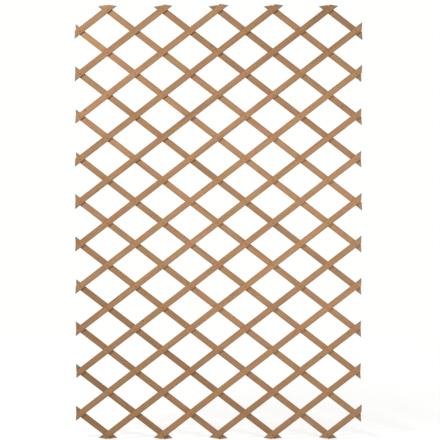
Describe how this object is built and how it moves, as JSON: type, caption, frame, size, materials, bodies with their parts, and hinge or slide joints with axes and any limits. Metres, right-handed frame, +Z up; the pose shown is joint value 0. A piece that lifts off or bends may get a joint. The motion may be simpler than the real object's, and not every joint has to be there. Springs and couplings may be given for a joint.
{
  "type": "expanding trellis panel",
  "caption": "Expanding wooden trellis panel: two layers of thin laths riveted at every crossing into an open diamond lattice that folds and stretches.",
  "frame": {"origin": "on the axis of the foot rivet, at the middle of the bottom row of rivets, on the plane of the rear face that lies against a wall", "axes": "+Z up along the height of the panel, +Y out of the rear face towards the wall, +X to the right seen from the front"},
  "size_m": [1.1969, 0.0137, 1.8154],
  "materials": {
    "lath_wood": "bare sawn softwood",
    "rivet_brass": "dull antique brass"
  },
  "bodies": {
    "foot": {"foot_rivet": "rivet_brass"},
    "front_01": {"front_lath_01": "lath_wood", "rivets_01": "rivet_brass"},
    "front_02": {"front_lath_02": "lath_wood", "rivets_02": "rivet_brass"},
    "front_03": {"front_lath_03": "lath_wood", "rivets_03": "rivet_brass"},
    "front_04": {"front_lath_04": "lath_wood", "rivets_04": "rivet_brass"},
    "front_05": {"front_lath_05": "lath_wood", "rivets_05": "rivet_brass"},
    "front_06": {"front_lath_06": "lath_wood", "rivets_06": "rivet_brass"},
    "front_07": {"front_lath_07": "lath_wood", "rivets_07": "rivet_brass"},
    "front_08": {"front_lath_08": "lath_wood", "rivets_08": "rivet_brass"},
    "front_09": {"front_lath_09": "lath_wood", "rivets_09": "rivet_brass"},
    "front_10": {"front_lath_10": "lath_wood", "rivets_10": "rivet_brass"},
    "front_11": {"front_lath_11": "lath_wood", "rivets_11": "rivet_brass"},
    "front_12": {"front_lath_12": "lath_wood", "rivets_12": "rivet_brass"},
    "front_13": {"front_lath_13": "lath_wood", "rivets_13": "rivet_brass"},
    "front_14": {"front_lath_14": "lath_wood", "rivets_14": "rivet_brass"},
    "front_15": {"front_lath_15": "lath_wood", "rivets_15": "rivet_brass"},
    "rear_01": {"rear_lath_01": "lath_wood"},
    "rear_02": {"rear_lath_02": "lath_wood"},
    "rear_03": {"rear_lath_03": "lath_wood"},
    "rear_04": {"rear_lath_04": "lath_wood"},
    "rear_05": {"rear_lath_05": "lath_wood"},
    "rear_06": {"rear_lath_06": "lath_wood"},
    "rear_07": {"rear_lath_07": "lath_wood"},
    "rear_08": {"rear_lath_08": "lath_wood"},
    "rear_09": {"rear_lath_09": "lath_wood"},
    "rear_10": {"rear_lath_10": "lath_wood"},
    "rear_11": {"rear_lath_11": "lath_wood"},
    "rear_12": {"rear_lath_12": "lath_wood"},
    "rear_13": {"rear_lath_13": "lath_wood"},
    "rear_14": {"rear_lath_14": "lath_wood"},
    "rear_15": {"rear_lath_15": "lath_wood"}
  },
  "joints": [
    {"name": "fold", "type": "hinge", "parent": "foot", "child": "front_13", "pos_m": [0, 0, 0], "axis": [0, -1, 0], "range_deg": [-32.2, 46.9]},
    {"name": "hinge_rear_13", "type": "hinge", "parent": "foot", "child": "rear_13", "pos_m": [0, 0, 0], "axis": [0, 1, 0], "range_deg": [-32.7, 47.4]},
    {"name": "hinge_rear_12", "type": "hinge", "parent": "front_13", "child": "rear_12", "pos_m": [0.11481, 0, 0.08857], "axis": [0, 1, 0], "range_deg": [-64.9, 94.3]},
    {"name": "hinge_rear_11", "type": "hinge", "parent": "front_13", "child": "rear_11", "pos_m": [0.22961, 0, 0.17714], "axis": [0, 1, 0], "range_deg": [-64.9, 94.3]},
    {"name": "hinge_rear_10", "type": "hinge", "parent": "front_13", "child": "rear_10", "pos_m": [0.34441, 0, 0.26571], "axis": [0, 1, 0], "range_deg": [-64.9, 94.3]},
    {"name": "hinge_rear_09", "type": "hinge", "parent": "front_13", "child": "rear_09", "pos_m": [0.45922, 0, 0.35429], "axis": [0, 1, 0], "range_deg": [-64.9, 94.3]},
    {"name": "hinge_rear_08", "type": "hinge", "parent": "front_13", "child": "rear_08", "pos_m": [0.57402, 0, 0.44286], "axis": [0, 1, 0], "range_deg": [-64.9, 94.3]},
    {"name": "hinge_front_08", "type": "hinge", "parent": "rear_13", "child": "front_08", "pos_m": [-0.57402, 0, 0.44286], "axis": [0, -1, 0], "range_deg": [-64.9, 94.3]},
    {"name": "hinge_front_09", "type": "hinge", "parent": "rear_13", "child": "front_09", "pos_m": [-0.45922, 0, 0.35429], "axis": [0, -1, 0], "range_deg": [-64.9, 94.3]},
    {"name": "hinge_front_10", "type": "hinge", "parent": "rear_13", "child": "front_10", "pos_m": [-0.34441, 0, 0.26571], "axis": [0, -1, 0], "range_deg": [-64.9, 94.3]},
    {"name": "hinge_front_11", "type": "hinge", "parent": "rear_13", "child": "front_11", "pos_m": [-0.22961, 0, 0.17714], "axis": [0, -1, 0], "range_deg": [-64.9, 94.3]},
    {"name": "hinge_front_12", "type": "hinge", "parent": "rear_13", "child": "front_12", "pos_m": [-0.11481, 0, 0.08857], "axis": [0, -1, 0], "range_deg": [-64.9, 94.3]},
    {"name": "hinge_front_07", "type": "hinge", "parent": "rear_12", "child": "front_07", "pos_m": [-0.57402, 0, 0.62], "axis": [0, -1, 0], "range_deg": [-64.9, 94.3]},
    {"name": "hinge_front_14", "type": "hinge", "parent": "rear_12", "child": "front_14", "pos_m": [0.22961, 0, 0], "axis": [0, -1, 0], "range_deg": [-64.9, 94.3]},
    {"name": "hinge_front_06", "type": "hinge", "parent": "rear_11", "child": "front_06", "pos_m": [-0.57402, 0, 0.79714], "axis": [0, -1, 0], "range_deg": [-64.9, 94.3]},
    {"name": "hinge_front_15", "type": "hinge", "parent": "rear_11", "child": "front_15", "pos_m": [0.45922, 0, 0], "axis": [0, -1, 0], "range_deg": [-64.9, 94.3]},
    {"name": "hinge_front_05", "type": "hinge", "parent": "rear_10", "child": "front_05", "pos_m": [-0.57402, 0, 0.97428], "axis": [0, -1, 0], "range_deg": [-64.9, 94.3]},
    {"name": "hinge_front_04", "type": "hinge", "parent": "rear_09", "child": "front_04", "pos_m": [-0.57402, 0, 1.15143], "axis": [0, -1, 0], "range_deg": [-64.9, 94.3]},
    {"name": "hinge_front_03", "type": "hinge", "parent": "rear_08", "child": "front_03", "pos_m": [-0.57402, 0, 1.32857], "axis": [0, -1, 0], "range_deg": [-64.9, 94.3]},
    {"name": "hinge_rear_07", "type": "hinge", "parent": "front_08", "child": "rear_07", "pos_m": [0.11481, 0, 0.97428], "axis": [0, 1, 0], "range_deg": [-64.9, 94.3]},
    {"name": "hinge_rear_06", "type": "hinge", "parent": "front_08", "child": "rear_06", "pos_m": [0.22961, 0, 1.06286], "axis": [0, 1, 0], "range_deg": [-64.9, 94.3]},
    {"name": "hinge_rear_05", "type": "hinge", "parent": "front_08", "child": "rear_05", "pos_m": [0.34441, 0, 1.15143], "axis": [0, 1, 0], "range_deg": [-64.9, 94.3]},
    {"name": "hinge_rear_04", "type": "hinge", "parent": "front_08", "child": "rear_04", "pos_m": [0.45922, 0, 1.24], "axis": [0, 1, 0], "range_deg": [-64.9, 94.3]},
    {"name": "hinge_rear_03", "type": "hinge", "parent": "front_08", "child": "rear_03", "pos_m": [0.57402, 0, 1.32857], "axis": [0, 1, 0], "range_deg": [-64.9, 94.3]},
    {"name": "hinge_rear_14", "type": "hinge", "parent": "front_09", "child": "rear_14", "pos_m": [-0.57402, 0, 0.26571], "axis": [0, 1, 0], "range_deg": [-64.9, 94.3]},
    {"name": "hinge_rear_15", "type": "hinge", "parent": "front_10", "child": "rear_15", "pos_m": [-0.57402, 0, 0.08857], "axis": [0, 1, 0], "range_deg": [-64.9, 94.3]},
    {"name": "hinge_rear_02", "type": "hinge", "parent": "front_07", "child": "rear_02", "pos_m": [0.57402, 0, 1.50571], "axis": [0, 1, 0], "range_deg": [-64.9, 94.3]},
    {"name": "hinge_rear_01", "type": "hinge", "parent": "front_06", "child": "rear_01", "pos_m": [0.57402, 0, 1.68285], "axis": [0, 1, 0], "range_deg": [-64.9, 94.3]},
    {"name": "hinge_front_02", "type": "hinge", "parent": "rear_07", "child": "front_02", "pos_m": [-0.57402, 0, 1.50571], "axis": [0, -1, 0], "range_deg": [-64.9, 94.3]},
    {"name": "hinge_front_01", "type": "hinge", "parent": "rear_06", "child": "front_01", "pos_m": [-0.57402, 0, 1.68285], "axis": [0, -1, 0], "range_deg": [-64.9, 94.3]}
  ],
  "couplings": [
    {"joint": "hinge_rear_13", "follows": "fold", "ratio": 1},
    {"joint": "hinge_rear_12", "follows": "fold", "ratio": 2},
    {"joint": "hinge_rear_11", "follows": "fold", "ratio": 2},
    {"joint": "hinge_rear_10", "follows": "fold", "ratio": 2},
    {"joint": "hinge_rear_09", "follows": "fold", "ratio": 2},
    {"joint": "hinge_rear_08", "follows": "fold", "ratio": 2},
    {"joint": "hinge_front_08", "follows": "fold", "ratio": 2},
    {"joint": "hinge_front_09", "follows": "fold", "ratio": 2},
    {"joint": "hinge_front_10", "follows": "fold", "ratio": 2},
    {"joint": "hinge_front_11", "follows": "fold", "ratio": 2},
    {"joint": "hinge_front_12", "follows": "fold", "ratio": 2},
    {"joint": "hinge_front_07", "follows": "fold", "ratio": 2},
    {"joint": "hinge_front_14", "follows": "fold", "ratio": 2},
    {"joint": "hinge_front_06", "follows": "fold", "ratio": 2},
    {"joint": "hinge_front_15", "follows": "fold", "ratio": 2},
    {"joint": "hinge_front_05", "follows": "fold", "ratio": 2},
    {"joint": "hinge_front_04", "follows": "fold", "ratio": 2},
    {"joint": "hinge_front_03", "follows": "fold", "ratio": 2},
    {"joint": "hinge_rear_07", "follows": "fold", "ratio": 2},
    {"joint": "hinge_rear_06", "follows": "fold", "ratio": 2},
    {"joint": "hinge_rear_05", "follows": "fold", "ratio": 2},
    {"joint": "hinge_rear_04", "follows": "fold", "ratio": 2},
    {"joint": "hinge_rear_03", "follows": "fold", "ratio": 2},
    {"joint": "hinge_rear_14", "follows": "fold", "ratio": 2},
    {"joint": "hinge_rear_15", "follows": "fold", "ratio": 2},
    {"joint": "hinge_rear_02", "follows": "fold", "ratio": 2},
    {"joint": "hinge_rear_01", "follows": "fold", "ratio": 2},
    {"joint": "hinge_front_02", "follows": "fold", "ratio": 2},
    {"joint": "hinge_front_01", "follows": "fold", "ratio": 2}
  ]
}
